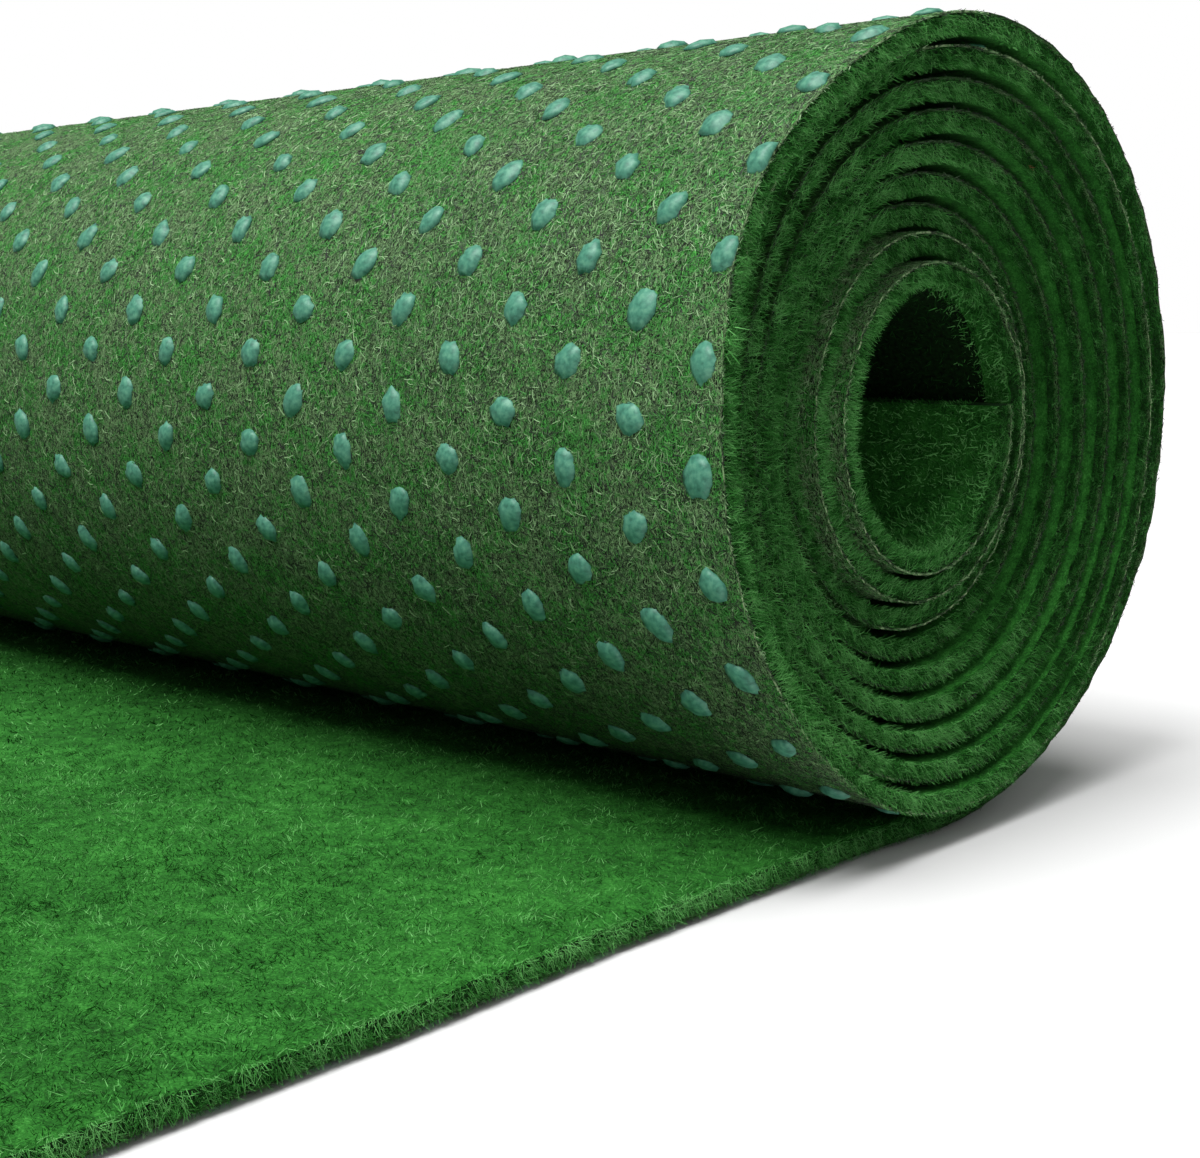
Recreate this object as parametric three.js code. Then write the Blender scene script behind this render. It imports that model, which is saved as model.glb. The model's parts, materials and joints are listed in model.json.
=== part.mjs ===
// Studded turf mat, part unrolled: a long strip of needle-felt turf lies flat at its free end
// and winds into a roll behind. Millimetres, +X along the roll, +Y from the free end to the roll, +Z up.
// The sheet is one continuous piece on the real mat. Here it is cut across its width into bodies
// that hinge on each other, so that the roll can open and the free end can lift.
import * as THREE from 'three';

// Sheet, measured through its thickness from the tips of the studs to the tips of the pile.
const MAT_WIDTH = 1000;
const STUD_HEIGHT = 1.2;
const BACKING = 1.0;
const BOND_GAP = 0.3; // the bond line between backing and pile
const PILE = 3.8;
const STUD_WIDTH = 7;
const STUD_ROW_PITCH = 11.15; // along the sheet, between staggered rows of studs

// Roll.
const OUTER_RADIUS = 94.4; // from the roll's centre to the floor
const TURNS = 9.27;
const TURN_CLEARANCE = 0.3; // between the pile of one turn and the studs of the next
const TELESCOPE = 12; // how far the innermost turn has slipped along the roll

// Flat run and the hinge lines that stand in for bending.
const FREE_RUN = 420; // from the roll's centre line to the free end
const HINGE_GAP = 0.3;
const UNROLL_JOINTS = 9;
const UNROLL_STEP = THREE.MathUtils.degToRad(20);
const LIFT_JOINTS = 4;
const LIFT_START = 125; // from the roll's centre line to the first lift hinge
const LIFT_SPACING = 32;

// Facets of the roll.
const PILE_FACET = THREE.MathUtils.degToRad(12);
const BACKING_FACET = THREE.MathUtils.degToRad(7.5);
const ROLL_ROWS_PER_RIB = 2; // inside the roll one rib stands for two staggered rows

const BACKING_DEPTH = [STUD_HEIGHT, STUD_HEIGHT + BACKING];
const PILE_DEPTH = [BACKING_DEPTH[1] + BOND_GAP, BACKING_DEPTH[1] + BOND_GAP + PILE];
const SHEET = PILE_DEPTH[1];
const WIND_PITCH = SHEET + TURN_CLEARANCE;
const RADIUS_PER_RADIAN = WIND_PITCH / (2 * Math.PI);
const HALF_STEP = UNROLL_STEP / 2;
const MIN_RIB_EDGE = 1; // plain backing kept between a rib and the end of its strip

const pileMaterial = new THREE.MeshStandardMaterial({ color: 0x1f7a2a, roughness: 1.0, metalness: 0.0 });
const backingMaterial = new THREE.MeshStandardMaterial({ color: 0x4c5a41, roughness: 0.95, metalness: 0.0 });

// ---- The wound sheet in the plane across the roll: vectors hold (Y, Z) ----

const centre = new THREE.Vector2(0, OUTER_RADIUS);
const alongAt = (angle) => new THREE.Vector2(Math.cos(angle), Math.sin(angle));
const inwardAt = (angle) => new THREE.Vector2(-Math.sin(angle), Math.cos(angle));
const radiusAt = (angle) => OUTER_RADIUS - RADIUS_PER_RADIAN * angle;

// A straight strip touches the winding at one angle; its hinge lines are where neighbours meet.
function touchPoint(angle) {
  return centre.clone().addScaledVector(inwardAt(angle), -radiusAt(angle));
}

function hingePoint(index) {
  const before = (index - 1) * UNROLL_STEP;
  const start = touchPoint(before);
  const across = inwardAt(index * UNROLL_STEP);
  const height = touchPoint(index * UNROLL_STEP).sub(start).dot(across);
  return start.addScaledVector(alongAt(before), height / alongAt(before).dot(across));
}

// Point on the winding at a length from the floor contact; depth counts inwards from the stud tips.
const lengthAt = (angle) => OUTER_RADIUS * angle - RADIUS_PER_RADIAN * angle * angle / 2;
const angleAt = (length) =>
  (OUTER_RADIUS - Math.sqrt(OUTER_RADIUS ** 2 - 2 * RADIUS_PER_RADIAN * length)) / RADIUS_PER_RADIAN;

function windingPoint(angle, depth) {
  return centre.clone().addScaledVector(inwardAt(angle), depth - radiusAt(angle));
}

// Facets whose flats, not corners, touch the wanted depth, so a turn never cuts the one inside it.
function outsidePoint(angle, depth, facet) {
  return centre.clone().addScaledVector(inwardAt(angle), (depth - radiusAt(angle)) / Math.cos(facet / 2));
}

// ---- Solids ----

function sheetSolid(outline) {
  const shape = new THREE.Shape(outline);
  const geometry = new THREE.ExtrudeGeometry(shape, { depth: MAT_WIDTH, bevelEnabled: false });
  geometry.applyMatrix4(new THREE.Matrix4().makeBasis(
    new THREE.Vector3(0, 1, 0), new THREE.Vector3(0, 0, 1), new THREE.Vector3(1, 0, 0)));
  geometry.translate(-MAT_WIDTH / 2, 0, 0);
  return geometry;
}

// A straight strip from start to end, both on its stud-tip line. Each end leans by its own mitre
// angle and keeps half the hinge gap, or none where nothing follows it.
function strip(start, end, startEnd, endEnd) {
  const length = start.distanceTo(end);
  const along = end.clone().sub(start).normalize();
  const inward = new THREE.Vector2(-along.y, along.x);
  const at = (distance, depth) =>
    start.clone().addScaledVector(along, distance).addScaledVector(inward, depth);
  const first = (depth) => startEnd.gap / Math.cos(startEnd.mitre) + depth * Math.tan(startEnd.mitre);
  const last = (depth) => length - endEnd.gap / Math.cos(endEnd.mitre) - depth * Math.tan(endEnd.mitre);
  return { length, at, first, last };
}

function stripPile({ at, first, last }) {
  const [low, high] = PILE_DEPTH;
  return [at(first(low), low), at(last(low), low), at(last(high), high), at(first(high), high)];
}

// Rows of studs become ribs along the width, spread evenly over the strip.
function stripBacking({ length, at, first, last }) {
  const [low, high] = BACKING_DEPTH;
  const rows = Math.max(1, Math.round(length / STUD_ROW_PITCH));
  const outline = [at(first(low), low)];
  for (let row = 0; row < rows; row++) {
    const middle = length * (row + 0.5) / rows;
    const from = middle - STUD_WIDTH / 2;
    const to = middle + STUD_WIDTH / 2;
    if (from > first(low) + MIN_RIB_EDGE && to < last(low) - MIN_RIB_EDGE) {
      outline.push(at(from, low), at(from, 0), at(to, 0), at(to, low));
    }
  }
  outline.push(at(last(low), low), at(last(high), high), at(first(high), high));
  return outline;
}

// The rest of the winding: a straight tail from the last hinge line to its touch point, then turns.
const tail = strip(hingePoint(UNROLL_JOINTS), touchPoint(UNROLL_JOINTS * UNROLL_STEP),
  { mitre: HALF_STEP, gap: HINGE_GAP / 2 }, { mitre: 0, gap: 0 });
const turnsStart = UNROLL_JOINTS * UNROLL_STEP;
const turnsEnd = TURNS * 2 * Math.PI;

function turnAngles(facet) {
  const count = Math.ceil((turnsEnd - turnsStart) / facet);
  return Array.from({ length: count + 1 }, (_, i) => turnsStart + (turnsEnd - turnsStart) * i / count);
}

function rollPile() {
  const [low, high] = PILE_DEPTH;
  const angles = turnAngles(PILE_FACET);
  const outside = angles.map((angle) => windingPoint(angle, low));
  const inside = angles.map((angle) => outsidePoint(angle, high, PILE_FACET));
  return [tail.at(tail.first(low), low), ...outside, ...inside.reverse(), tail.at(tail.first(high), high)];
}

function rollBacking() {
  const [low, high] = BACKING_DEPTH;
  const wound = lengthAt(turnsEnd) - lengthAt(turnsStart);
  const ribs = Math.round(wound / (STUD_ROW_PITCH * ROLL_ROWS_PER_RIB));
  const ribPitch = wound / ribs;
  const outside = [tail.at(tail.first(low), low), windingPoint(turnsStart, low)];
  for (let rib = 0; rib < ribs; rib++) {
    const middle = lengthAt(turnsStart) + (rib + 0.5) * ribPitch;
    const from = angleAt(middle - STUD_WIDTH / 2);
    const to = angleAt(middle + STUD_WIDTH / 2);
    outside.push(windingPoint(from, low), windingPoint(from, 0), windingPoint(to, 0), windingPoint(to, low));
    outside.push(windingPoint(angleAt(middle + ribPitch / 2), low));
  }
  const inside = turnAngles(BACKING_FACET).map((angle) => outsidePoint(angle, high, BACKING_FACET));
  return [...outside, ...inside.reverse(), tail.at(tail.first(high), high)];
}

// The turns have slipped along the roll towards its far end, more the nearer they are to the bore.
function telescope(geometry) {
  const rim = OUTER_RADIUS - WIND_PITCH - SHEET;
  const bore = radiusAt(turnsEnd) - SHEET;
  const position = geometry.attributes.position;
  for (let i = 0; i < position.count; i++) {
    const radius = Math.hypot(position.getY(i) - centre.x, position.getZ(i) - centre.y);
    const share = THREE.MathUtils.clamp((rim - radius) / (rim - bore), 0, 1);
    position.setX(i, position.getX(i) - TELESCOPE * share);
  }
  return geometry;
}

// ---- Assembly ----

const mat = new THREE.Group();

function add(name, geometry, material) {
  const mesh = new THREE.Mesh(geometry, material);
  mesh.name = name;
  mat.add(mesh);
}

function addStrip(name, ...ends) {
  const piece = strip(...ends);
  add(`${name}_pile`, sheetSolid(stripPile(piece)), pileMaterial);
  add(`${name}_backing`, sheetSolid(stripBacking(piece)), backingMaterial);
}

const square = { mitre: 0, gap: HINGE_GAP / 2 };
const mitred = { mitre: HALF_STEP, gap: HINGE_GAP / 2 };
const cut = { mitre: 0, gap: 0 };
const floorPoint = (distance) => new THREE.Vector2(-distance, 0);

// The free end, the short strips that let it lift, and the bed that the roll stands on.
const liftLine = (index) => floorPoint(LIFT_START + index * LIFT_SPACING);
addStrip('free_end', floorPoint(FREE_RUN), liftLine(LIFT_JOINTS - 1), cut, square);
for (let i = LIFT_JOINTS - 1; i > 0; i--) {
  addStrip(`flap_${i}`, liftLine(i), liftLine(i - 1), square, square);
}
addStrip('bed', liftLine(0), hingePoint(1), square, mitred);

// The strips that roll off onto the floor one after another, and the rest of the roll.
for (let i = 1; i < UNROLL_JOINTS; i++) {
  addStrip(`bend_${i}`, hingePoint(i), hingePoint(i + 1), mitred, mitred);
}
add('roll_pile', telescope(sheetSolid(rollPile())), pileMaterial);
add('roll_backing', telescope(sheetSolid(rollBacking())), backingMaterial);

// The origin is under the middle of the whole object, on the floor.
const rearReach = Math.max(...Array.from({ length: UNROLL_JOINTS }, (_, i) => hingePoint(i + 1).x));
mat.position.set(TELESCOPE / 2, (FREE_RUN - rearReach) / 2, 0);

export default mat;
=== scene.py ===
"""A studded needle-felt turf mat, part rolled up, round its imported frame."""

import json
import math

import bpy
import numpy as np
from mathutils import Matrix, Vector


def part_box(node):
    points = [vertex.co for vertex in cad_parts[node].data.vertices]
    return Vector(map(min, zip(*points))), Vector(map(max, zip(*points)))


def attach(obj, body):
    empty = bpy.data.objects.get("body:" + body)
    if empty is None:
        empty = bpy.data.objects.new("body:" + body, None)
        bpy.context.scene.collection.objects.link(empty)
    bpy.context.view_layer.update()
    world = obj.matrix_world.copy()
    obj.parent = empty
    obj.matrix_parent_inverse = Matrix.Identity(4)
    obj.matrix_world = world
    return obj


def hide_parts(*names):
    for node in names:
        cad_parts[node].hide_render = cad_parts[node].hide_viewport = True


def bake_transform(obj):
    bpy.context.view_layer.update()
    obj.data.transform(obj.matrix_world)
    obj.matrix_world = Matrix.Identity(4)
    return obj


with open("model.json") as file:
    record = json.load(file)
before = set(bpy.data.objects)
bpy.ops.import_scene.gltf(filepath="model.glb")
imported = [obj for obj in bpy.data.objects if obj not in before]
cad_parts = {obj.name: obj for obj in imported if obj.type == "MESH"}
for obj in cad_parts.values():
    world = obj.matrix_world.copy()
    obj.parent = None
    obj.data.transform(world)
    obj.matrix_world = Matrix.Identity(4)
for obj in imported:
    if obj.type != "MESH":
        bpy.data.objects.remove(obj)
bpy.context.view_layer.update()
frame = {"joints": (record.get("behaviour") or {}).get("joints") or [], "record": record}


# ---------------------------------------------------------------- Floor
# A seamless sheet of matt white studio paper under the mat. It only catches
# the soft shadow, so it is plain and much larger than the object.
def linear(hex_colour):
    """A hex sRGB colour as the linear numbers that shaders take."""
    parts = [int(hex_colour[i : i + 2], 16) / 255 for i in (1, 3, 5)]
    return [p / 12.92 if p <= 0.04045 else ((p + 0.055) / 1.055) ** 2.4 for p in parts]


def finish_named(name, colour, roughness, specular=0.5):
    """A new material with its Principled shader's plain numbers set."""
    made = bpy.data.materials.new(name)
    made.use_nodes = True
    shader = made.node_tree.nodes["Principled BSDF"]
    shader.inputs["Base Color"].default_value = (*linear(colour), 1)
    shader.inputs["Roughness"].default_value = roughness
    shader.inputs["Specular IOR Level"].default_value = specular
    made.diffuse_color = (*linear(colour), 1)
    return made, shader


bpy.ops.object.select_all(action="DESELECT")
bpy.ops.mesh.primitive_circle_add(vertices=64, radius=9, fill_type="NGON")
studio_paper = bpy.context.object
studio_paper.name = "studio_paper"
studio_paper.data.transform(Matrix.Translation((0, 0, -0.0002)))
# Uncoated paper: fully matt and light grey, which the light burns out to
# white wherever no shadow falls.
paper, _ = finish_named("uncoated studio paper", "#cccccc", 0.95, 0.1)
studio_paper.data.materials.append(paper)

# ---------------------------------------------------------------- Light
# Two large softboxes, one overhead and one over the rolled side, and a weak
# one towards the roll's near end, in an even white room.
def node(tree, kind, settings=None, **links):
    """Adds a node, sets it, and links or sets its inputs by name or number."""
    made = tree.nodes.new(kind)
    for key, value in (settings or {}).items():
        setattr(made, key, value)
    for key, value in links.items():
        socket = made.inputs[int(key[1:]) if key[1:].isdigit() else key.replace("_", " ")]
        if isinstance(value, bpy.types.NodeSocket):
            tree.links.new(value, socket)
        else:
            socket.default_value = value
    return made


room = bpy.data.worlds.new("white_room")
bpy.context.scene.world = room
room.use_nodes = True
ROOM_LIGHT, ROOM_SEEN = 0.16, 1.0  # what it gives, and how white it looks
backdrop = room.node_tree.nodes["Background"]
backdrop.inputs["Color"].default_value = (1, 1, 1, 1)
eye_ray = node(room.node_tree, "ShaderNodeLightPath")
strength = node(
    room.node_tree, "ShaderNodeMapRange",
    Value=eye_ray.outputs["Is Camera Ray"], To_Min=ROOM_LIGHT, To_Max=ROOM_SEEN,
)
room.node_tree.links.new(strength.outputs["Result"], backdrop.inputs["Strength"])

for light_name, energy, spread, to_light in (
    ("softbox_above", 2.6, 38, (0.02, -0.08, 0.98)),
    ("softbox_side", 3.1, 30, (-0.04, -0.50, 0.86)),
    ("softbox_end", 0.55, 50, (0.70, -0.38, 0.60)),
):
    lamp = bpy.data.lights.new(light_name, "SUN")
    lamp.energy = energy
    lamp.angle = math.radians(spread)
    lamp_place = bpy.data.objects.new(light_name, lamp)
    lamp_place.rotation_mode = "QUATERNION"
    lamp_place.rotation_quaternion = Vector(to_light).to_track_quat("Z", "Y")
    bpy.context.collection.objects.link(lamp_place)

# ---------------------------------------------------------------- Camera
# Low, in front of the near end of the roll, looking along the mat.
CAMERA_AT = Vector((0.7347, -0.1977, 0.1208))
YAW, PITCH, ROLL = math.radians(43.61), math.radians(8.19), math.radians(-0.10)
look = Vector(
    (
        -math.sin(YAW) * math.cos(PITCH),
        math.cos(YAW) * math.cos(PITCH),
        -math.sin(PITCH),
    )
)
level = Vector((math.cos(YAW), math.sin(YAW), 0))
upright = level.cross(look)
across = math.cos(ROLL) * level + math.sin(ROLL) * upright
above = -math.sin(ROLL) * level + math.cos(ROLL) * upright
camera = bpy.data.cameras.new("camera")
camera.sensor_width = 36
camera.lens = 56.14
camera.clip_start = 0.01
camera_place = bpy.data.objects.new("camera", camera)
camera_place.matrix_world = Matrix.Translation(CAMERA_AT) @ (
    Matrix((across, above, -look)).transposed().to_4x4()
)
bpy.context.collection.objects.link(camera_place)
bpy.context.scene.camera = camera_place
bpy.context.scene.view_settings.view_transform = "Standard"

# ---------------------------------------------------------------- Pile
# The turf side: short polypropylene fibre needle-punched into a dense felt,
# 3.8 mm deep. It is one continuous web, so its pieces meet edge to edge
# across the mat's joints.
MM = 0.001
OUTER_RADIUS = 94.4 * MM  # to the stud tips, where the mat meets the floor
WIND_PITCH = 6.6 * MM  # mat over its studs, 6.3 mm, and 0.3 mm of air
TURNS = 9.27
LAST_ANGLE = TURNS * 2 * math.pi
TIGHTENING = WIND_PITCH / (2 * math.pi)
# Depths in from the stud tips, through the mat to the tips of its pile.
FELT_OUT, FELT_IN, PILE_ROOT, PILE_TIP = (d * MM for d in (1.2, 1.7, 1.75, 6.3))
NEXT_TURN = 7.6 * MM  # the backing of the turn inside
PILE_BED = 5.5 * MM  # the dense part of the pile; loose tips stand above it
STRIP = math.radians(20)  # the outer half turn opens in strips of this angle

bore = frame["record"]["physics"]["openings"][0]["box_m"]
roll_y = (bore[0][1] + bore[1][1]) / 2
flat_low, flat_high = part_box("free_end_pile")
NEAR_X, FAR_X = flat_high[0], flat_low[0]
FREE_EDGE = flat_low[1]

# How far each turn's ends sit back from the outer turn's, over its radius.
RECESS_RADII = [m * MM for m in (33, 38, 45, 51.5, 58, 64.7, 71.3, 78, 84.5, 91)]
RECESSES = [m * MM for m in (9, 9, 12.7, 15.5, 12.5, 9, 6, 3, 0.7, 0)]

# The near cut wanders out of square, in mm over degrees of winding.
CUT_DEGREES = (-150, -99, -69, -40, -15, 20, 70)
CUT_DEGREES += (140, 180, 208, 224, 236, 251, 264, 288, 307, 322, 345, 400)
CUT_DEGREES += (500, 545, 583, 600, 630, 660, 720, 880, 940, 1000, 1080)
CUT_WANDER = (1.5, -0.6, -4.0, -5.8, -6.5, -4.5, -0.5)
CUT_WANDER += (0.5, 1.5, 2.0, -1.5, -2.9, -1.1, 0.9, 2.3, 4.2, 4.6, 2.5, 0)
CUT_WANDER += (0, -1.8, -4.6, -4.4, -1.6, 0, 0, -1.0, -3.0, -1.0, 0)
CUT_REACH = 60 * MM  # how far in from the near end the wandering cut is felt


def near_cut(angle):
    """The near cut edge's x where the mat is wound to an angle."""
    return NEAR_X + np.interp(np.degrees(angle), CUT_DEGREES, CUT_WANDER) * MM


def drawn_in(x, angle):
    """Places across the mat, moved with its near cut where that is close."""
    share = np.clip((x - NEAR_X + CUT_REACH) / CUT_REACH, 0, 1)
    return x + share * (near_cut(angle) - NEAR_X)


def spots(angle, depth, x):
    """Points at an angle of winding, a depth in from the stud tips and an x.

    The angle is 0 where the mat leaves the floor. Below that it measures
    the flat run, as if rolled off the outer radius.
    """
    angle, depth, x = np.broadcast_arrays(angle, depth, x)
    turned = np.maximum(angle, 0)
    radius = OUTER_RADIUS - TIGHTENING * turned
    back = np.interp(radius, RECESS_RADII, RECESSES)
    y = roll_y + (radius - depth) * np.sin(turned) + np.minimum(angle, 0) * OUTER_RADIUS
    z = OUTER_RADIUS - (radius - depth) * np.cos(turned)
    return np.stack((x - back, y, z), -1)


def run_length(angle):
    """Length along the mat from the place where it leaves the floor."""
    turned = np.maximum(angle, 0)
    return OUTER_RADIUS * angle - TIGHTENING * turned**2 / 2


def angle_at(length):
    """The angle of winding at a length along the mat."""
    wound = np.maximum(length, 0)
    root = np.sqrt(OUTER_RADIUS**2 - 2 * TIGHTENING * wound)
    return np.where(length < 0, length / OUTER_RADIUS, (OUTER_RADIUS - root) / TIGHTENING)


def patches(u, v, cell, seed):
    """Soft random patches from 0 to 1, about a cell across."""
    grid = np.random.default_rng(seed).random((512, 512))
    a, b = np.asarray(u) / cell, np.asarray(v) / cell
    i, j = np.floor(a).astype(int), np.floor(b).astype(int)
    p, q = a - i, b - j
    p, q = p * p * (3 - 2 * p), q * q * (3 - 2 * q)

    def corner(m, n):
        return grid[(i + m) % 512, (j + n) % 512]

    return (corner(0, 0) * (1 - p) + corner(1, 0) * p) * (1 - q) + (
        corner(0, 1) * (1 - p) + corner(1, 1) * p
    ) * q


def put_in_scene(name, points, quads, slots=None, cloth=None, materials=()):
    """An object at the origin from points and four-cornered faces."""
    mesh = bpy.data.meshes.new(name)
    count = len(quads)
    mesh.vertices.add(len(points))
    mesh.vertices.foreach_set("co", np.asarray(points, np.float32).ravel())
    mesh.loops.add(count * 4)
    mesh.loops.foreach_set("vertex_index", np.asarray(quads, np.int32).ravel())
    mesh.polygons.add(count)
    mesh.polygons.foreach_set("loop_start", np.arange(0, count * 4, 4, dtype=np.int32))
    if slots is not None:
        mesh.polygons.foreach_set("material_index", np.asarray(slots, np.int32))
    if cloth is not None:
        layer = mesh.uv_layers.new(name="cloth")
        layer.data.foreach_set(
            "uv", np.asarray(cloth, np.float32)[np.asarray(quads).ravel()].ravel()
        )
    for material in materials:
        mesh.materials.append(material)
    mesh.update(calc_edges=True)
    mesh.validate()
    made = bpy.data.objects.new(name, mesh)
    bpy.context.collection.objects.link(made)
    return made


# Each stretch of mat: its name, the bodies it goes between, its two angles
# and the CAD nodes' body that it stands for.
joint_at = {j["name"]: j["pos_m"] for j in frame["joints"]}
FOLD_REACH = 16 * MM
fold_order = ("bed", "flap_1", "flap_2", "flap_3", "free_end")
stretches = []
start_y = FREE_EDGE
for n in (4, 3, 2, 1):
    hinge = joint_at[f"lift_{n}"][1]
    if n == 4:
        stretches.append(
            ("free_end", ("free_end",), start_y, hinge - FOLD_REACH, "free_end")
        )
    stretches.append(
        (
            f"fold_{n}",
            (fold_order[n], fold_order[n - 1]),
            hinge - FOLD_REACH,
            hinge + FOLD_REACH,
            f"flap_{n}" if n < 4 else None,
        )
    )
stretches.append(("bed", ("bed",), hinge + FOLD_REACH, roll_y, "bed"))
stretches = [
    (a, b, (c - roll_y) / OUTER_RADIUS, (d - roll_y) / OUTER_RADIUS, e)
    for a, b, c, d, e in stretches
]
for n in range(1, 10):
    stretches.append(
        (
            f"opening_{n}",
            (
                "bed" if n == 1 else f"bend_{n - 1}",
                "roll" if n == 9 else f"bend_{n}",
            ),
            (n - 1) * STRIP,
            n * STRIP,
            f"bend_{n}" if n < 9 else None,
        )
    )
stretches.append(("roll", ("roll",), 9 * STRIP, LAST_ANGLE, "roll"))


def go_with_mat(piece, stretch):
    """Rides on the stretch's body; a piece between two bodies is only fixed in place."""
    _, bodies, first, last, _ = stretch
    if len(bodies) == 1:
        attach(piece, bodies[0])
    else:
        start, end = (spots(a, FELT_IN, 0.0) for a in (first, last))
        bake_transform(piece)
    return piece


PAINTED_SHADE_TURNS = (1.95, 6.95)  # turns whose rims the pile's fringe hides; their rims, and the faces beside the cut, get painted shade
FIRST_BURIED = 0.85  # turns in, where the fringe begins to hang over
BORE_ROOF = (6.58, 3.5)  # radians back from the inner end
BORE_SHADE_FROM = 11 * MM  # where the bore's painted shade begins, in from the near cut
PAINTED_SHADE_TO = 13 * MM  # how far in from the near cut the fringed turns' faces get painted shade
RIM_SAG = 0.15  # share of a layer's depth by which its inner face rounds off at a cut


def hangs_over(angle):
    """Where the fringe of a turn hangs over the rim of the next."""
    turn = angle / (2 * math.pi)
    low_side = np.sin(angle - 0.5) < 0.25
    return (turn > FIRST_BURIED) & (turn < PAINTED_SHADE_TURNS[1]) & low_side


def is_overhead(angle):
    """Where the bore's wall is above the mat's inner end."""
    return (angle > LAST_ANGLE - BORE_ROOF[0]) & (angle < LAST_ANGLE - BORE_ROOF[1])


def web(stretch, kind, outer, inner, steps, stations, edge_in, bumps, materials):
    """One closed layer of the mat: outer and inner faces, rims and ends.

    edge_in is how far its cut edges sit in from the mat's, bumps a function
    that raises the inner face. The materials are for the faces, the rims and
    ends, the rims, faces and ends given painted shade, and the bore's roof
    given painted shade.
    """
    name, _, first, last, _ = stretch
    angles = np.linspace(first, last, max(2, steps + 1))
    run = run_length(angles)
    x = np.asarray(stations)
    shape = (len(angles), len(x))
    grid_a, grid_x = np.broadcast_to(angles[:, None], shape), np.tile(x, (shape[0], 1))
    grid_s = np.broadcast_to(run[:, None], shape)
    ragged = (patches(run, run * 0, 1.3 * MM, 5) - 0.5) * 0.7 * MM
    place_x = drawn_in(grid_x, grid_a)
    place_x[:, 0] += edge_in + ragged
    place_x[:, -1] -= edge_in - ragged
    depth = inner + bumps(grid_x, grid_s)
    near_rim = np.zeros(shape)
    near_rim[:, (0, -1)] = 1
    depth = depth - near_rim * (inner - outer) * RIM_SAG
    face_out = spots(grid_a, np.full(shape, outer), place_x)
    face_in = spots(grid_a, depth, place_x)
    points = np.concatenate((face_out.reshape(-1, 3), face_in.reshape(-1, 3)))
    cloth = np.stack((grid_x, grid_s), -1).reshape(-1, 2)
    cloth = np.concatenate((cloth, cloth))
    rows, columns = shape
    total = rows * columns
    i = (np.arange(rows - 1)[:, None] * columns + np.arange(columns - 1)).ravel()
    outside = np.stack((i, i + columns, i + columns + 1, i + 1), -1)
    inside = outside[:, ::-1] + total
    r = np.arange(rows - 1) * columns
    low_rim = np.stack((r, r + total, r + total + columns, r + columns), -1)
    e = r + columns - 1
    high_rim = np.stack((e, e + columns, e + columns + total, e + total), -1)
    c = np.arange(columns - 1)
    first_end = np.stack((c, c + 1, c + 1 + total, c + total), -1)
    d = c + total - columns
    last_end = np.stack((d, d + total, d + total + 1, d + 1), -1)
    quads = np.concatenate((outside, inside, low_rim, high_rim, first_end, last_end))
    slots = np.zeros(len(quads), int)
    rim_turn = np.tile(angles[:-1], 2) / (2 * math.pi)
    # On the backing, rims of the turns under the fringe take the third finish, painted shade.
    rim_slot = np.where((rim_turn > PAINTED_SHADE_TURNS[0]) & (rim_turn < PAINTED_SHADE_TURNS[1]), 2, 1)
    slots[len(outside) * 2 :] = 1
    slots[len(outside) * 2 : len(outside) * 2 + len(rim_slot)] = rim_slot
    if name == "roll":
        # Painted shade on the bore's roof, deeper in than the near cut.
        deep_in = x < NEAR_X - BORE_SHADE_FROM
        bore_painted_shade = (is_overhead(angles)[:-1, None] & deep_in[None, :-1]).ravel()
        slots[len(outside) : len(outside) * 2][bore_painted_shade] = 3
        # Painted shade on the backing's outer face beside the near cut on those turns.
        turn = angles / (2 * math.pi)
        painted_shade_turn = (turn > PAINTED_SHADE_TURNS[0]) & (turn < PAINTED_SHADE_TURNS[1])
        beside_cut = x > NEAR_X - PAINTED_SHADE_TO
        painted_shade_faces = (painted_shade_turn[:-1, None] & beside_cut[None, :-1]).ravel()
        slots[: len(outside)][painted_shade_faces] = 2
        # The roll's two end faces take the third finish too: painted shade on the backing.
        slots[-2 * len(c) :] = 2
    made = put_in_scene(f"{name}_{kind}", points, quads, slots, cloth, materials)
    made.data.polygons.foreach_set("use_smooth", np.ones(len(quads), bool))
    made.data.set_sharp_from_angle(angle=math.radians(50))
    return made


def shaded(tree, factor, stops):
    """A colour ramp over a factor, from (place, hex colour) pairs."""
    ramp = node(tree, "ShaderNodeValToRGB", i0=factor)
    steps = ramp.color_ramp.elements
    while len(steps) < len(stops):
        steps.new(0.5)
    for step, (place, colour) in zip(steps, stops):
        step.position = place
        step.color = (*linear(colour), 1)
    return ramp.outputs["Color"]


def cloth_in_mm(tree):
    """The cloth's own map, across and along the mat, in millimetres."""
    own = node(tree, "ShaderNodeUVMap", {"uv_map": "cloth"})
    scale = node(tree, "ShaderNodeMapping", Vector=own.outputs[0], Scale=(1000,) * 3)
    return scale.outputs[0]


# Needle-felt polypropylene, coloured in the melt: matt, with pale tips over
# dark gaps. Its broad patches are its own tone; the dark gaps against the pale
# tips are painted shade between the fibres. Its fibres are 0.1 mm thick. The
# pattern is drawn at about 0.7 mm, so that it shows.
pile_felt, shader = finish_named("needle felt polypropylene pile", "#2f6a2b", 0.9, 0.12)
tree = pile_felt.node_tree
place = cloth_in_mm(tree)
fibre = node(tree, "ShaderNodeTexNoise", Vector=place, Scale=1.5, Detail=3.0, Distortion=1.2)
clump = node(tree, "ShaderNodeTexNoise", Vector=place, Scale=0.22, Detail=4.0, Roughness=0.6)
broad = node(tree, "ShaderNodeTexNoise", Vector=place, Scale=0.03, Detail=2.0)
mixed = node(
    tree, "ShaderNodeMath", {"operation": "MULTIPLY_ADD"},
    i0=clump.outputs[0], i1=0.7, i2=fibre.outputs[0],
)
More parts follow.
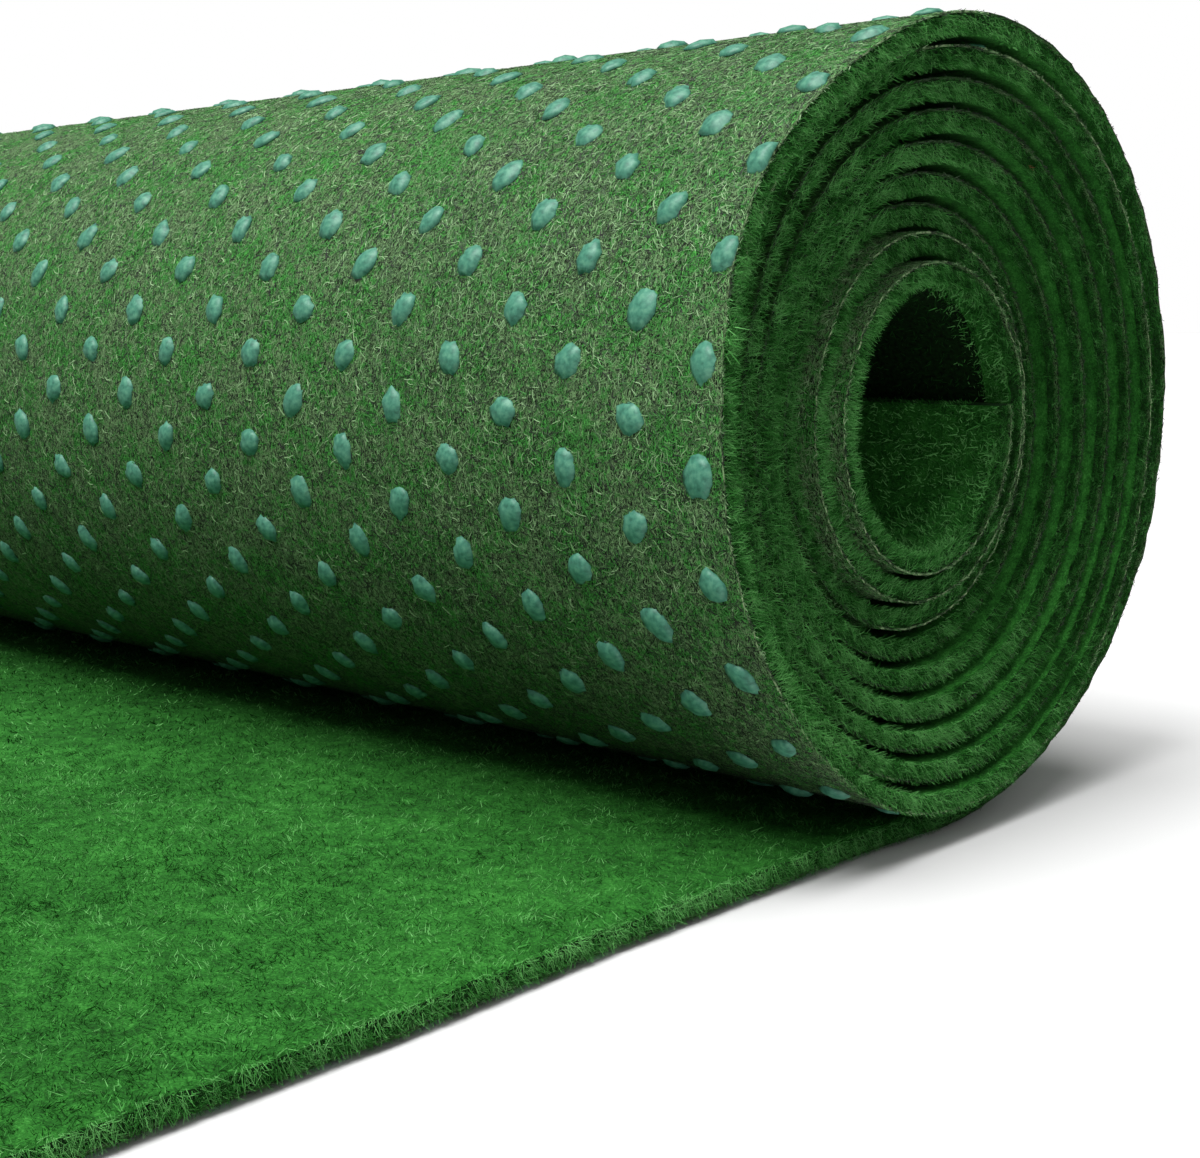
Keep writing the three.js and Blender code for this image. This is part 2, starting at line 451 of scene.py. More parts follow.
mixed = node(
    tree, "ShaderNodeMath", {"operation": "MULTIPLY_ADD"},
    i0=broad.outputs[0], i1=0.35, i2=mixed.outputs[0],
)
mixed = node(
    tree, "ShaderNodeMath", {"operation": "MULTIPLY"}, i0=mixed.outputs[0], i1=0.5
)
colour = shaded(
    tree,
    mixed.outputs[0],
    ((0.36, "#0e2b0b"), (0.48, "#1b5118"), (0.58, "#2b6c25"), (0.70, "#478b3e")),
)
tree.links.new(colour, shader.inputs["Base Color"])
relief = node(
    tree, "ShaderNodeBump", Strength=0.7, Distance=0.5 * MM, Height=mixed.outputs[0]
)
tree.links.new(relief.outputs[0], shader.inputs["Normal"])

# The cut through the felt is darker: light goes in between the fibre ends.
pile_cut, shader = finish_named("cut needle felt pile", "#0e2f0d", 0.95, 0.15)
tree = pile_cut.node_tree
place = cloth_in_mm(tree)
fibre = node(tree, "ShaderNodeTexNoise", Vector=place, Scale=1.1, Detail=3.0)
colour = shaded(tree, fibre.outputs[0], ((0.35, "#061806"), (0.65, "#174015")))
tree.links.new(colour, shader.inputs["Base Color"])

# Painted shade: overhead in the bore, deeper in than the near cut, the pile is coloured near black
# for the shade there.
pile_bore_painted_shade, shader = finish_named("matted needle felt pile", "#0a1f09", 0.95, 0.1)
tree = pile_bore_painted_shade.node_tree
place = cloth_in_mm(tree)
fibre = node(tree, "ShaderNodeTexNoise", Vector=place, Scale=0.9, Detail=3.0)
colour = shaded(tree, fibre.outputs[0], ((0.35, "#041003"), (0.65, "#0c2a0a")))
tree.links.new(colour, shader.inputs["Base Color"])


def stations(*spans):
    """Places across the mat from (share of width, step in mm) spans."""
    made, at = [NEAR_X], NEAR_X
    for end, step in spans:
        count = max(1, round(abs(end - at) / (step * MM)))
        made += list(np.linspace(at, end, count + 1)[1:])
        at = end
    return made[::-1]


flat_stations = stations((0.3, 3), (0.0, 6), (FAR_X + 0.01, 10), (FAR_X, 5))
rolled_stations = stations((0.49, 4), (0.42, 14), (-0.4, 90), (FAR_X + 0.02, 25), (FAR_X, 5))


def felt_bumps(x, s):
    """The pile's face rises and falls by a few tenths of a millimetre."""
    return (
        (patches(x + 1, s + 1, 5 * MM, 11) - 0.5) * 0.5
        + (patches(x + 1, s + 1, 2.6 * MM, 12) - 0.5) * 0.5
        + (patches(x + 1, s + 1, 30 * MM, 13) - 0.5) * 0.3
    ) * MM


for stretch in stretches:
    name, _, first, last, stands_for = stretch
    flat = last <= 0
    length = float(run_length(last) - run_length(first))
    made = web(
        stretch,
        "pile_web",
        PILE_ROOT,
        PILE_BED,
        round(length / (3 * MM)) if flat else round((last - first) / math.radians(4)),
        flat_stations if flat else rolled_stations,
        1.2 * MM,
        felt_bumps,
        (pile_felt, pile_cut, pile_cut, pile_bore_painted_shade),
    )
    go_with_mat(made, stretch)
    if stands_for:
        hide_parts(f"{stands_for}_pile")

# ---------------------------------------------------------------- Backing
# The underside: a thin felt of coarser crimped fibre, heat-set so that its
# strands lie flat. Rolled up, it is the outside of the roll.


def no_bumps(x, s):
    """A face with nothing raised on it."""
    return x * 0


# Heat-set felt: pale dry strands over a dark ground, with blotches where the
# green pile fibre comes through. Strands are 0.1 mm wide or so and bend every
# 1 to 2 mm.
backing_felt, shader = finish_named("heat-set backing felt", "#4c6a40", 0.85, 0.15)
tree = backing_felt.node_tree
place = cloth_in_mm(tree)
strand_layers = []
for turn, wide, long, seed in ((25, 1.5, 0.6, 3.0), (-40, 1.6, 0.65, 17.0), (80, 1.4, 0.55, 29.0)):
    turned = node(
        tree, "ShaderNodeMapping", Vector=place,
        Location=(seed, seed, seed), Rotation=(0, 0, math.radians(turn)), Scale=(wide, long, 1),
    )
    wave = node(
        tree, "ShaderNodeTexNoise", Vector=turned.outputs[0], Scale=1.0, Detail=2.0,
        Roughness=0.55, Distortion=0.8,
    )
    off = node(tree, "ShaderNodeMath", {"operation": "SUBTRACT"}, i0=wave.outputs[0], i1=0.5)
    size = node(tree, "ShaderNodeMath", {"operation": "ABSOLUTE"}, i0=off.outputs[0])
    line = node(
        tree, "ShaderNodeMapRange", {"interpolation_type": "SMOOTHSTEP"},
        Value=size.outputs[0], i1=0.0, i2=0.046, i3=1.0, i4=0.0,
    )
    strand_layers.append(line.outputs[0])
most = node(
    tree, "ShaderNodeMath", {"operation": "MAXIMUM"}, i0=strand_layers[0], i1=strand_layers[1]
)
most = node(
    tree, "ShaderNodeMath", {"operation": "MAXIMUM"}, i0=most.outputs[0], i1=strand_layers[2]
)
blotch = node(tree, "ShaderNodeTexNoise", Vector=place, Scale=0.07, Detail=3.0, Roughness=0.6)
tint = node(tree, "ShaderNodeTexNoise", Vector=place, Scale=0.6, Detail=1.0)
green = node(
    tree, "ShaderNodeMath", {"operation": "MULTIPLY_ADD"},
    i0=tint.outputs[0], i1=0.9, i2=blotch.outputs[0],
)
green = node(
    tree, "ShaderNodeMapRange", {"interpolation_type": "SMOOTHSTEP"},
    Value=green.outputs[0], i1=0.82, i2=1.15, i3=0.0, i4=1.0,
)
strand_colour = node(
    tree, "ShaderNodeMix", {"data_type": "RGBA"}, Factor=green.outputs[0],
    i6=(*linear("#789f6a"), 1), i7=(*linear("#4ba145"), 1),
)
ground_colour = node(
    tree, "ShaderNodeMix", {"data_type": "RGBA"}, Factor=green.outputs[0],
    i6=(*linear("#0d120a"), 1), i7=(*linear("#0a1e08"), 1),
)
surface = node(
    tree, "ShaderNodeMix", {"data_type": "RGBA"}, Factor=most.outputs[0],
    i6=ground_colour.outputs["Result"], i7=strand_colour.outputs["Result"],
)
tree.links.new(surface.outputs["Result"], shader.inputs["Base Color"])
relief = node(
    tree, "ShaderNodeBump", Strength=0.8, Distance=0.25 * MM, Height=most.outputs[0]
)
tree.links.new(relief.outputs[0], shader.inputs["Normal"])

# The cut rim of the felt is its pale, frayed core.
backing_cut, shader = finish_named("cut backing felt", "#8c9c78", 0.9, 0.2)
tree = backing_cut.node_tree
place = cloth_in_mm(tree)
frayed = node(tree, "ShaderNodeTexNoise", Vector=place, Scale=0.6, Detail=4.0)
colour = shaded(tree, frayed.outputs[0], ((0.42, "#1f3b1b"), (0.62, "#8aa578")))
tree.links.new(colour, shader.inputs["Base Color"])

# Painted shade: a dark finish for the backing's rims and the faces beside
# the cut where the fringe covers them, for the roll's two end faces, and for
# the rims and ends of every stretch off the roll.
backing_painted_shade, shader = finish_named("shaded backing felt rim", "#1c2c18", 0.95, 0.1)
tree = backing_painted_shade.node_tree
frayed = node(tree, "ShaderNodeTexNoise", Vector=cloth_in_mm(tree), Scale=0.9, Detail=3.0)
colour = shaded(tree, frayed.outputs[0], ((0.35, "#0d200a"), (0.65, "#274a20")))
tree.links.new(colour, shader.inputs["Base Color"])

for stretch in stretches:
    name, _, first, last, stands_for = stretch
    flat = last <= 0
    length = float(run_length(last) - run_length(first))
    made = web(
        stretch,
        "backing_web",
        FELT_OUT,
        FELT_IN,
        round(length / (4 * MM)) if flat else round((last - first) / math.radians(2)),
        rolled_stations,
        0.2 * MM,
        no_bumps,
        (backing_felt, backing_cut if name == "roll" else backing_painted_shade, backing_painted_shade),
    )
    go_with_mat(made, stretch)
    if stands_for:
        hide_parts(f"{stands_for}_backing")

# ---------------------------------------------------------------- Studs
# Drainage studs: drops of soft PVC moulded on the backing in staggered rows,
# which hold the mat off the floor. Each is a low ragged oval dome.
STUD_WIDTH = 7 * MM
COLUMN_STEP = 18.06 * MM
ROW_STEP = 22.18 * MM
FIRST_COLUMN = 4.56 * MM
EVEN_ROW, ODD_ROW = 0.41678, 0.42802  # where a row lies, along the mat
END_MARGIN = 4 * MM  # bare backing kept at the mat's two ends
HIDDEN_FROM = 3 * math.pi + 0.2  # winding inside which most studs can't be seen
SEEN_FROM_END = 45 * MM  # how far in from the roll's ends they still can
BARE_BESIDE_CUT = 15 * MM  # and how near the cut they would stand in the fringe

bpy.ops.object.select_all(action="DESELECT")
bpy.ops.mesh.primitive_cylinder_add(
    vertices=14, radius=STUD_WIDTH / 2, depth=FELT_OUT, end_fill_type="TRIFAN"
)
drop = bpy.context.object
bpy.ops.object.mode_set(mode="EDIT")
bpy.ops.mesh.select_all(action="DESELECT")
bpy.ops.object.mode_set(mode="OBJECT")
for face in drop.data.polygons:
    face.select = face.normal.z > 0.9
bpy.ops.object.mode_set(mode="EDIT")
bpy.ops.mesh.inset(thickness=STUD_WIDTH * 0.14, depth=0)
bpy.ops.object.mode_set(mode="OBJECT")
shape = np.array([v.co for v in drop.data.vertices])
reach = np.hypot(shape[:, 0], shape[:, 1]) / (STUD_WIDTH / 2)
top = shape[:, 2] > 0
shape[top, 2] = FELT_OUT * np.clip(1.0 - (reach[top] * 0.97) ** 2.4, 0, 1) ** 0.75
shape[~top, 2] = -0.15 * MM
drop_faces = [tuple(p.vertices) for p in drop.data.polygons]
drop_quads = np.array([f if len(f) == 4 else (*f, f[2]) for f in drop_faces])
bpy.data.objects.remove(drop)

# Soft PVC, mint green: a satin skin with faint pitting from the mould.
stud_pvc, shader = finish_named("moulded soft PVC", "#58a88a", 0.5, 0.4)
tree = stud_pvc.node_tree
place = cloth_in_mm(tree)
pits = node(tree, "ShaderNodeTexNoise", Vector=place, Scale=0.7, Detail=3.0)
colour = shaded(
    tree, pits.outputs[0], ((0.3, "#2c6250"), (0.5, "#3f7c66"), (0.7, "#589177"))
)
tree.links.new(colour, shader.inputs["Base Color"])
relief = node(
    tree, "ShaderNodeBump", Strength=0.2, Distance=0.2 * MM, Height=pits.outputs[0]
)
tree.links.new(relief.outputs[0], shader.inputs["Normal"])

columns = np.arange(NEAR_X - FIRST_COLUMN, FAR_X + 0.002, -COLUMN_STEP)
flat_length = roll_y - FREE_EDGE
whole_run = float(run_length(LAST_ANGLE))
stud_x, stud_run = [], []
for i, x in enumerate(columns):
    phase = EVEN_ROW if i % 2 == 0 else ODD_ROW
    lowest = math.ceil((-flat_length + END_MARGIN - phase) / ROW_STEP)
    highest = math.floor((whole_run - END_MARGIN - phase) / ROW_STEP)
    rows = phase + ROW_STEP * np.arange(lowest, highest + 1)
    stud_run.append(rows)
    stud_x.append(np.full(len(rows), x))
stud_x, stud_run = np.concatenate(stud_x), np.concatenate(stud_run)
stud_angle = angle_at(stud_run)
hidden = (stud_angle > HIDDEN_FROM) & (
    ((stud_x < NEAR_X - SEEN_FROM_END) & (stud_x > FAR_X + SEEN_FROM_END))
    | (stud_x > NEAR_X - BARE_BESIDE_CUT)
)
stud_x, stud_run, stud_angle = (a[~hidden] for a in (stud_x, stud_run, stud_angle))
stud_x = np.where(stud_angle < 1, drawn_in(stud_x, stud_angle), stud_x)
dice = np.random.default_rng(20)
count = len(stud_x)
stretch_x = dice.uniform(0.86, 1.06, count)
stretch_s = dice.uniform(0.95, 1.22, count)
height = np.where(
    (stud_angle > math.radians(180)) & (stud_angle < 2 * math.pi - 0.3),
    dice.uniform(1.1, 1.35, count),
    dice.uniform(0.86, 1.0, count),
)
skew = dice.uniform(-0.25, 0.25, count)
ragged = dice.uniform(0.84, 1.16, (count, len(shape)))
ragged[:, reach < 0.3] = 1
drop_x = shape[None, :, 0] * ragged * stretch_x[:, None] + skew[:, None] * shape[None, :, 1]
drop_s = shape[None, :, 1] * ragged * stretch_s[:, None]
drop_h = np.where(
    shape[None, :, 2] > 0, shape[None, :, 2] * height[:, None], shape[None, :, 2]
)
kept_on_mat = np.clip(
    stud_x[:, None] + drop_x,
    FAR_X + 0.3 * MM,
    near_cut(stud_angle)[:, None] - 0.3 * MM,
)
stud_points_run = stud_run[:, None] + drop_s
stud_points = spots(angle_at(stud_points_run), FELT_OUT - drop_h, kept_on_mat)
stud_cloth = np.stack((kept_on_mat, stud_points_run), -1)

for stretch in stretches:
    name, _, first, last, _ = stretch
    own = np.flatnonzero((stud_angle >= first) & (stud_angle < last))
    quads = (drop_quads[None] + np.arange(len(own))[:, None, None] * len(shape)).reshape(-1, 4)
    triangles = quads[:, 2] == quads[:, 3]
    mesh = bpy.data.meshes.new(f"{name}_studs")
    mesh.from_pydata(
        stud_points[own].reshape(-1, 3).tolist(),
        [],
        [q[:3] if t else q for q, t in zip(quads.tolist(), triangles)],
    )
    layer = mesh.uv_layers.new(name="cloth")
    corners = np.zeros(len(mesh.loops), np.int32)
    mesh.loops.foreach_get("vertex_index", corners)
    layer.data.foreach_set(
        "uv", stud_cloth[own].reshape(-1, 2)[corners].astype(np.float32).ravel()
    )
    mesh.polygons.foreach_set("use_smooth", np.ones(len(mesh.polygons), bool))
    mesh.materials.append(stud_pvc)
    made = bpy.data.objects.new(f"{name}_studs", mesh)
    bpy.context.collection.objects.link(made)
    go_with_mat(made, stretch)

# ---------------------------------------------------------------- Nap
# The loose fibre ends of the pile. They stand out of its face, fringe the
# cut edges and close the gaps at the roll's ends. Each is one thin blade.
nap_finishes = [
    finish_named(f"loose polypropylene fibre {tone}", colour, 0.75, 0.1)[0]
    for tone, colour in (
        ("deep", "#113d0e"),
        ("dark", "#1c5418"),
        ("mid", "#2e6d2a"),
        ("fresh", "#3f8439"),
        ("pale", "#5c9c54"),
    )
]


def blades(name, roots, tips, width, tones, finishes, dice, taper=0.3):
    """Thin flat blades from roots to tips, each turned its own way."""
    along = tips - roots
    along = along / np.maximum(np.linalg.norm(along, axis=1, keepdims=True), 1e-9)
    side = np.cross(along, dice.normal(size=along.shape))
    side /= np.maximum(np.linalg.norm(side, axis=1, keepdims=True), 1e-9)
    half = side * (np.broadcast_to(width, len(roots))[:, None] / 2)
    points = np.stack(
        (roots - half, roots + half, tips + half * taper, tips - half * taper), 1
    )
    quads = np.arange(len(roots) * 4).reshape(-1, 4)
    return put_in_scene(name, points.reshape(-1, 3), quads, tones, None, finishes)


def tones_for(x, run, dice, darker=0.0):
    """Which of the five tones each fibre has: patchy, with odd ones out."""
    level = (
        patches(x + 1, run + 1, 4.5 * MM, 11) * 0.40
        + patches(x + 1, run + 1, 30 * MM, 13) * 0.20
        + dice.random(len(x)) * 0.40
        - darker
    )
    return np.clip(((level - 0.24) / 0.52 * 5).astype(int), 0, 4)


NAP_LEAN = 1.1 * MM
OPENING_DENSITY = 0.10  # fibres to a square millimetre on the opened strips
BORE_FIBRES, BORE_REACH = 42000, 235 * MM  # how many, and how far in they go
face_spans = (
    # from x, to x, fibres to a square millimetre, width
    ("near", 0.30, NEAR_X, 1.55, 0.22 * MM),
    ("middle", 0.0, 0.30, 0.57, 0.44 * MM),
    ("far", FAR_X, 0.0, 0.22, 0.65 * MM),
)
nap_sets = {}


def keep_nap(made, stretch):
    """Goes with the mat, and is listed in nap_sets under its stretch."""
    go_with_mat(made, stretch)
    nap_sets.setdefault(stretch[0], []).append(made)


dice = np.random.default_rng(31)
for stretch in stretches:
    name, _, first, last, _ = stretch
    if first >= 0:
        continue
    low, high = float(run_length(first)), float(run_length(last))
    for span, low_x, high_x, density, width in face_spans:
        if name == "bed":
            density = density * 0.6
        count = round((high - low) * (high_x - low_x) / MM**2 * density)
        run = dice.uniform(low, high, count)
        x = drawn_in(dice.uniform(low_x, high_x - 0.6 * MM, count), angle_at(run))
        rise = dice.uniform(0.1, 1.0, count) * MM
        root = spots(angle_at(run), PILE_BED - 0.3 * MM, x)
        comb = np.stack(
            (
                patches(x + 1, run + 1, 3 * MM, 41) - 0.5,
                patches(x + 1, run + 1, 3 * MM, 42) - 0.5,
            ),
            -1,
        ) * 2.4 * MM
        lean = dice.normal(0, NAP_LEAN * 0.6, (count, 2)) + comb
        tip = spots(angle_at(run + lean[:, 1]), PILE_BED + rise, x + lean[:, 0])
        tones = tones_for(x, run, dice)
        made = blades(f"{name}_nap_{span}", root, tip, width, tones, nap_finishes, dice)
        keep_nap(made, stretch)

# The opened strips' face, which shows only when the mat is unrolled.
for stretch in stretches:
    name, _, first, last, _ = stretch
    if first < 0 or name == "roll":
        continue
    low, high = float(run_length(first)), float(run_length(last))
    count = round((high - low) * (NEAR_X - FAR_X) / MM**2 * OPENING_DENSITY)
    run = dice.uniform(low, high, count)
    x = drawn_in(dice.uniform(FAR_X, NEAR_X - 0.6 * MM, count), angle_at(run))
    root = spots(angle_at(run), PILE_BED - 0.2 * MM, x)
    lean = dice.normal(0, NAP_LEAN * 0.8, (count, 2))
    tip = spots(
        np.clip(angle_at(run + lean[:, 1]), first, last),
        PILE_BED + dice.uniform(0.1, 0.5, count) * MM,
        x + lean[:, 0],
    )
    tones = tones_for(x, run, dice)
    made = blades(f"{name}_nap", root, tip, 0.7 * MM, tones, nap_finishes, dice)
    keep_nap(made, stretch)

# The fringe at the two cut edges: rows of fibre that lean out of the cut.
FRINGE = {  # which way is out, fibres to a millimetre of cut, and their width
    "near": (1, 37, 0.14 * MM),
    "far": (-1, 3, 0.5 * MM),
}
FREE_CLUMPS, TIGHT_CLUMPS = 1.0 * MM, 0.4 * MM  # how far clumps lean out
roll_stretch = stretches[-1]
middle_run = float(run_length(6.6 * math.pi))
fringe_rows = []
for stretch in stretches:
    low, high = float(run_length(stretch[2])), float(run_length(stretch[3]))
    fringe_rows.append((stretch, "far", low, high))
    if stretch[0] == "roll":
        fringe_rows += [
            (stretch, "near_outer", low, middle_run),
            (stretch, "near_inner", middle_run, high),
        ]
    else:
        fringe_rows.append((stretch, "near", low, high))
for stretch, end, low, high in fringe_rows:
    name, _, first, last, _ = stretch
    outward, per_mm, width = FRINGE["far" if end == "far" else "near"]
    count = round((high - low) / MM * per_mm)
    run = dice.uniform(low, high, count)
    edge = near_cut(angle_at(run)) if outward > 0 else FAR_X
    reach_in = PILE_TIP + 0.2 * MM if first < 0 else NEXT_TURN
    deep = dice.uniform(PILE_ROOT, PILE_TIP - 0.6 * MM, count)
    x = edge - outward * dice.uniform(0.2, 1.8, count) * MM
    clump_s = (patches(run, run * 0, 2.2 * MM, 51) - 0.5) * 3.0 * MM
    free = first < 0 or name == "roll"
    clump_x = patches(run, deep, 0.9 * MM, 52) * (FREE_CLUMPS if free else TIGHT_CLUMPS)
    root = spots(angle_at(run), deep, x)
    buried = hangs_over(angle_at(run))
    hangs = buried | (run < 0)
    tip_deep = deep + np.where(
        hangs, dice.uniform(-2.6, 1.4, count), dice.uniform(-0.4, 2.2, count)
    ) * MM
    # The first strip's tips stay low: the roll's studs swing close as it opens.
    tip_room = (-0.6 if name == "opening_1" else 0.3) * MM
    reach_in = np.where(buried, reach_in, PILE_TIP + tip_room)
    tip_deep = np.clip(
        tip_deep, np.where(hangs, FELT_OUT - 0.5 * MM, FELT_OUT + 0.55 * MM), reach_in
    )
    tip_run = run + clump_s * 0.5 + dice.normal(0, 0.8, count) * MM
    tip_x = edge + outward * (clump_x - dice.uniform(-0.2, 0.8, count) * MM)
    tip_x += outward * buried * 0.5 * MM
    tip = spots(
        np.clip(angle_at(tip_run), first, last) if name != "roll" else angle_at(
            np.clip(tip_run, low, high)
        ),
        tip_deep,
        tip_x,
    )
    # Painted light and shade: fringe tones a little paler overall, and darker towards the wound
    # roll's +y side.
    painted_light_and_shade = 0.11 - 0.24 * np.maximum(np.sin(angle_at(run)), 0) * (run > 0)
    tones = tones_for(run * 1.6, deep * 3, dice, -painted_light_and_shade)
    made = blades(
        f"{name}_fringe_{end}", root, tip, width, tones, nap_finishes, dice
    )
    keep_nap(made, stretch)

# The bore: the inner end of the mat, seen down the middle of the roll.
low, high = float(run_length(LAST_ANGLE - 2 * math.pi)), whole_run
count = BORE_FIBRES
run = dice.uniform(low, high, count)
x = NEAR_X - 1.5 * MM - dice.random(count) ** 1.7 * BORE_REACH
root = spots(angle_at(run), PILE_BED - 0.3 * MM, x)
lean = dice.normal(0, NAP_LEAN, (count, 2))
tip = spots(
    angle_at(np.clip(run + lean[:, 1], low, high)),
    PILE_BED + dice.uniform(0.2, 1.4, count) * MM,
    x + lean[:, 0],
)
# Painted shade: overhead in the bore, past a ragged line about 10 mm in, the nap takes much darker
# tones and most of it is left out. The rest of the bore's nap is a little paler.
bore_painted_shade = is_overhead(angle_at(run)) & (x < NEAR_X - dice.normal(10, 2.5, count) * MM)
kept = ~bore_painted_shade | (dice.random(count) < 0.3)  # overhead most of it is left out, for the painted shade there
tones = tones_for(x, run, dice, 0.74 * bore_painted_shade - 0.14)
made = blades(
    "roll_nap_bore", root[kept], tip[kept], 0.35 * MM, tones[kept], nap_finishes, dice
)
keep_nap(made, roll_stretch)

# The mat's two cut ends have the same fringe: the free one along its metre,
# the inner one as far in as the bore shows it.
for stretch, edge_run, outward, low_x, count, width in (
    (stretches[0], float(run_length(stretches[0][2])), -1, FAR_X, 9000, 0.5 * MM),
    (roll_stretch, whole_run, 1, 0.2, 6000, 0.3 * MM),
):
    x = dice.uniform(low_x, NEAR_X - 10 * MM * (outward > 0), count)
    deep = dice.uniform(PILE_ROOT, PILE_BED, count)
    root = spots(angle_at(edge_run - outward * dice.uniform(0, 1.2, count) * MM), deep, x)
    tip = spots(
        angle_at(edge_run + outward * dice.uniform(-0.2, 1.2, count) * MM),
        deep + dice.uniform(0.3, 1.4, count) * MM,
        x + dice.normal(0, 0.7, count) * MM,
    )
    made = blades(
        f"{stretch[0]}_fringe_end", root, tip, width,
        tones_for(x, x, dice, 0.05), nap_finishes, dice,
    )
    keep_nap(made, stretch)

# ---------------------------------------------------------------- Strands
# Crimped strands of the backing felt that lie loose on its face and fray
# from its cut edge. They are laid where the roll shows them closest.
strand_finishes = [
    finish_named(f"crimped backing fibre {tone}", colour, 0.7)[0]
    for tone, colour in (
        ("shade", "#0c140a"),
        ("dull", "#33522e"),
        ("green", "#32762c"),
        ("dry", "#618856"),
        ("bleached", "#82a675"),
    )
]


def strands(name, run, x, heading, length, height, width, tones, dice, parts):
    """Crimped ribbons that lie on the backing's outer face."""
    count = len(run)
    step = length / parts
    heading = heading[:, None] + np.cumsum(dice.normal(0, 0.42, (count, parts)), 1)
    path_s = run[:, None] + np.concatenate(
        (np.zeros((count, 1)), np.cumsum(np.sin(heading) * step[:, None], 1)), 1
    )
    path_x = x[:, None] + np.concatenate(
        (np.zeros((count, 1)), np.cumsum(np.cos(heading) * step[:, None], 1)), 1
    )
    facing = np.concatenate((heading, heading[:, -1:]), 1)
    off_s, off_x = np.cos(facing) * width / 2, -np.sin(facing) * width / 2
    lift = height[:, None] * np.sin(np.linspace(0, math.pi, parts + 1))[None]
    tilt = dice.uniform(-0.04, 0.04, (count, 1)) * MM
    left = spots(angle_at(path_s + off_s), FELT_OUT - lift - tilt, path_x + off_x)
    right = spots(angle_at(path_s - off_s), FELT_OUT - lift + tilt, path_x - off_x)
    points = np.stack((left, right), 2).reshape(-1, 3)
    base = (np.arange(count) * (parts + 1) * 2)[:, None] + np.arange(parts) * 2
    quads = np.stack((base, base + 1, base + 3, base + 2), -1).reshape(-1, 4)
    return put_in_scene(
        name, points, quads, np.repeat(tones, parts), None, strand_finishes
    )


dry_straw, _ = finish_named("dry straw fleck", "#7a4a2c", 0.8)
dice = np.random.default_rng(47)
for span, low_x, high_x, count, width in (
    ("near", 0.40, NEAR_X, 30000, 0.15 * MM),
    ("middle", 0.22, 0.40, 22000, 0.22 * MM),
    ("far", -0.06, 0.22, 9000, 0.36 * MM),
):
    run = dice.uniform(
        run_length(math.radians(186)), run_length(math.radians(345)), count
    )
    x = dice.uniform(low_x, high_x - (1.5 * MM if span == "near" else 0), count)
    x = drawn_in(x, angle_at(run))
    blotch = patches(x + 1, run + 1, 14 * MM, 61) * 0.6 + patches(x + 1, run + 1, 5 * MM, 62) * 0.4
    tones = np.select(
        (dice.random(count) < (blotch - 0.35) * 1.6, dice.random(count) < 0.25,
         dice.random(count) < 0.5, dice.random(count) < 0.7),
        (2, 0, 1, 3), 4,
    )
    # Painted shade: past 275 degrees of winding, towards the roll's underside, more and more
    # strands take the two darkest tones.
    under = np.degrees(angle_at(run)) - 275
    tones = np.where(dice.random(count) < under / 45, dice.integers(0, 2, count), tones)
    made = strands(
        f"roll_strands_{span}", run, x, dice.uniform(0, 2 * math.pi, count),
        dice.uniform(1.3, 3.2, count) * MM, dice.uniform(0.05, 0.22, count) * MM,
        width, tones, dice, 3 if span == "near" else 2,
    )
    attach(made, "roll")

# The two inmost turns stand out past their neighbours and show their backing.
count = 7000
run = dice.uniform(run_length(13.6 * math.pi), whole_run - 2 * MM, count)
made = strands(
    "roll_strands_inner", run, dice.uniform(NEAR_X - 9 * MM, NEAR_X - 0.6 * MM, count),
    dice.uniform(0, 2 * math.pi, count), dice.uniform(1.0, 2.4, count) * MM,
    dice.uniform(0.05, 0.22, count) * MM, 0.17 * MM,
    dice.choice((0, 1, 2, 2, 3, 4), count), dice, 2,
)
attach(made, "roll")

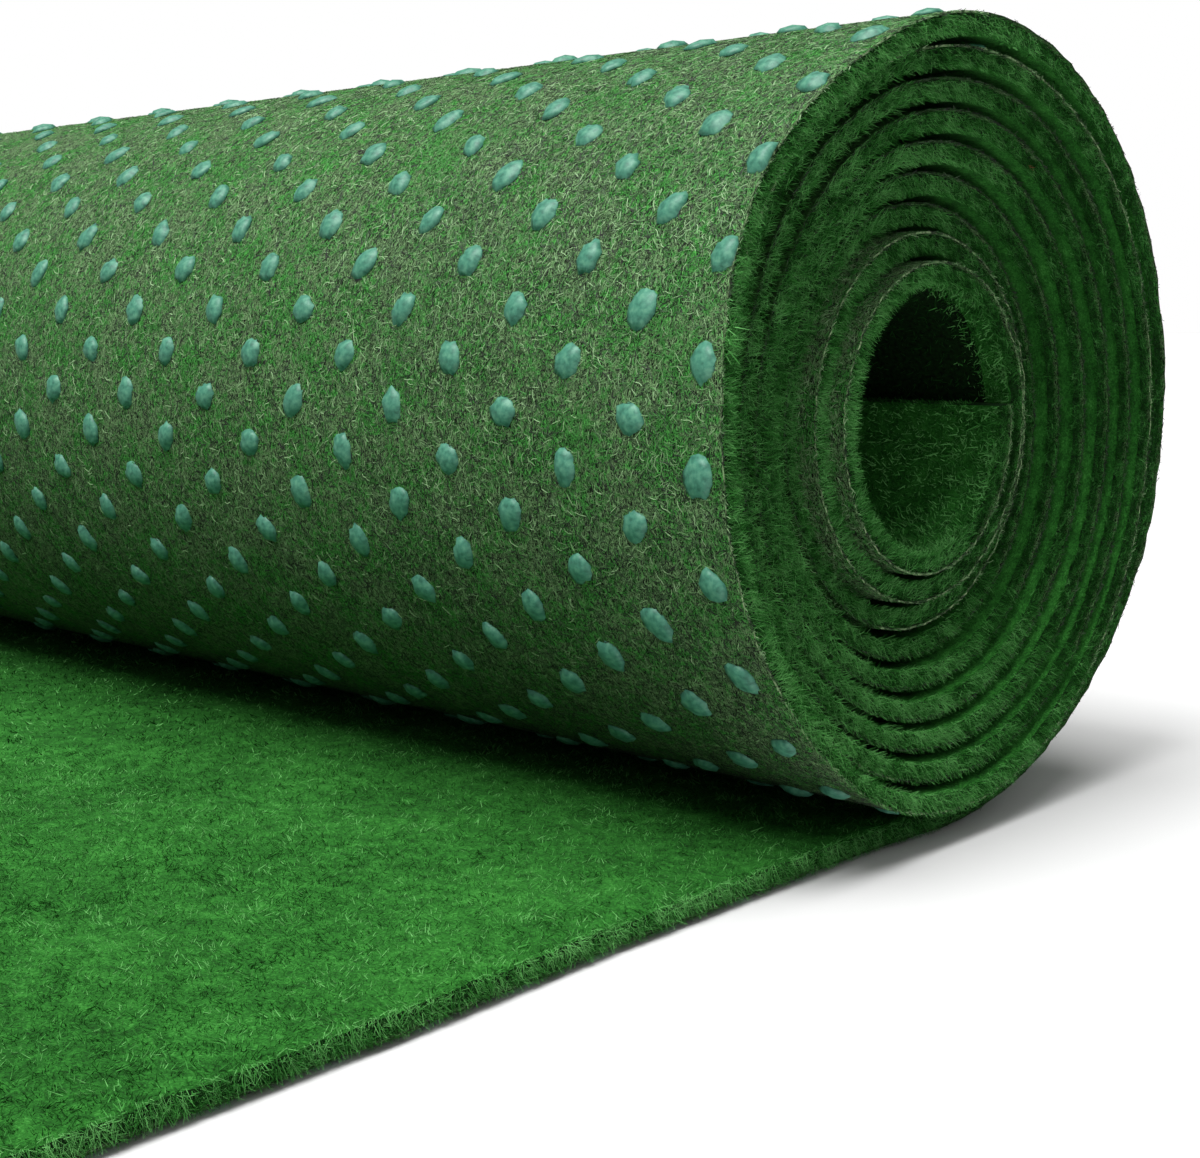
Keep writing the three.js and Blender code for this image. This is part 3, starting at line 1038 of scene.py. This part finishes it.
# A bright wisp of loose pile caught on the outer edge, and a fleck of straw
# caught between two turns.
for caught, angle, deep, out, spread, how_many, tone in (
    ("wisp", 256.3, 2.2, 0.6, 1.5, 90, (3, 4)),
    ("fleck", 152.6 + 3 * 360, 5.2, 0.4, 0.5, 10, (5,)),
):
    at = math.radians(angle)
    run = float(run_length(at)) + dice.normal(0, spread, how_many) * MM
    root = spots(
        angle_at(run), (deep + dice.normal(0, spread * 0.8, how_many)) * MM,
        near_cut(at) + (out + dice.uniform(-0.6, 0.6, how_many)) * MM,
    )
    tip = root + dice.normal(0, spread * 0.9, (how_many, 3)) * MM
    made = blades(
        f"roll_{caught}", root, tip, 0.2 * MM, dice.choice(tone, how_many),
        [*nap_finishes, dry_straw], dice,
    )
    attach(made, "roll")

# The backing's cut edges fray a little, in patches.
for stretch in stretches:
    name, _, first, last, _ = stretch
    low, high = float(run_length(first)), float(run_length(last))
    for end, outward, per_mm in (("near", 1, 4.0), ("far", -1, 1.0)):
        if name != "roll":
            per_mm = per_mm * 0.3
        count = round((high - low) / MM * per_mm)
        run = dice.uniform(low, high, count)
        # Painted shade: frays on the turns under the fringe, and all frays off the roll, take the
        # two darkest tones. Elsewhere the fray is dark in random patches.
        turn = angle_at(run) / (2 * math.pi)
        dark_fray = (turn > PAINTED_SHADE_TURNS[0]) & (turn < PAINTED_SHADE_TURNS[1])
        dark_fray |= patches(run, run * 0, 3 * MM, 71) < 0.42
        edge = near_cut(angle_at(run)) if end == "near" else FAR_X
        deep = dice.uniform(FELT_OUT, FELT_IN, count)
        root = spots(angle_at(run), deep, edge - outward * 0.3 * MM)
        tip = spots(
            angle_at(np.clip(run + dice.normal(0, 0.8, count) * MM, low, high)),
            deep + dice.normal(0, 0.25, count) * MM,
            edge + outward * dice.uniform(0.0, 0.6 if name == "roll" else 0.2, count) * MM,
        )
        made = blades(
            f"{name}_fray_{end}", root, tip, 0.18 * MM if end == "near" else 0.5 * MM,
            np.where(
                dark_fray | (name != "roll"),
                dice.integers(0, 2, count),
                dice.integers(1, 5, count),
            ),
            strand_finishes, dice, 0.6,
        )
        go_with_mat(made, stretch)

# ---------------------------------------------------------------- Sheets
# The two felts were needled together and cut as one piece, a metre wide and
# four metres long. Each stretch's own flat length is worked out, which is
# its length where the two meet: winding neither stretches nor shrinks it there.
for stretch in stretches:
    name, _, first, last, _ = stretch
    wound = max(last, 0) - max(first, 0)
    length = float(run_length(last) - run_length(first)) - FELT_IN * wound
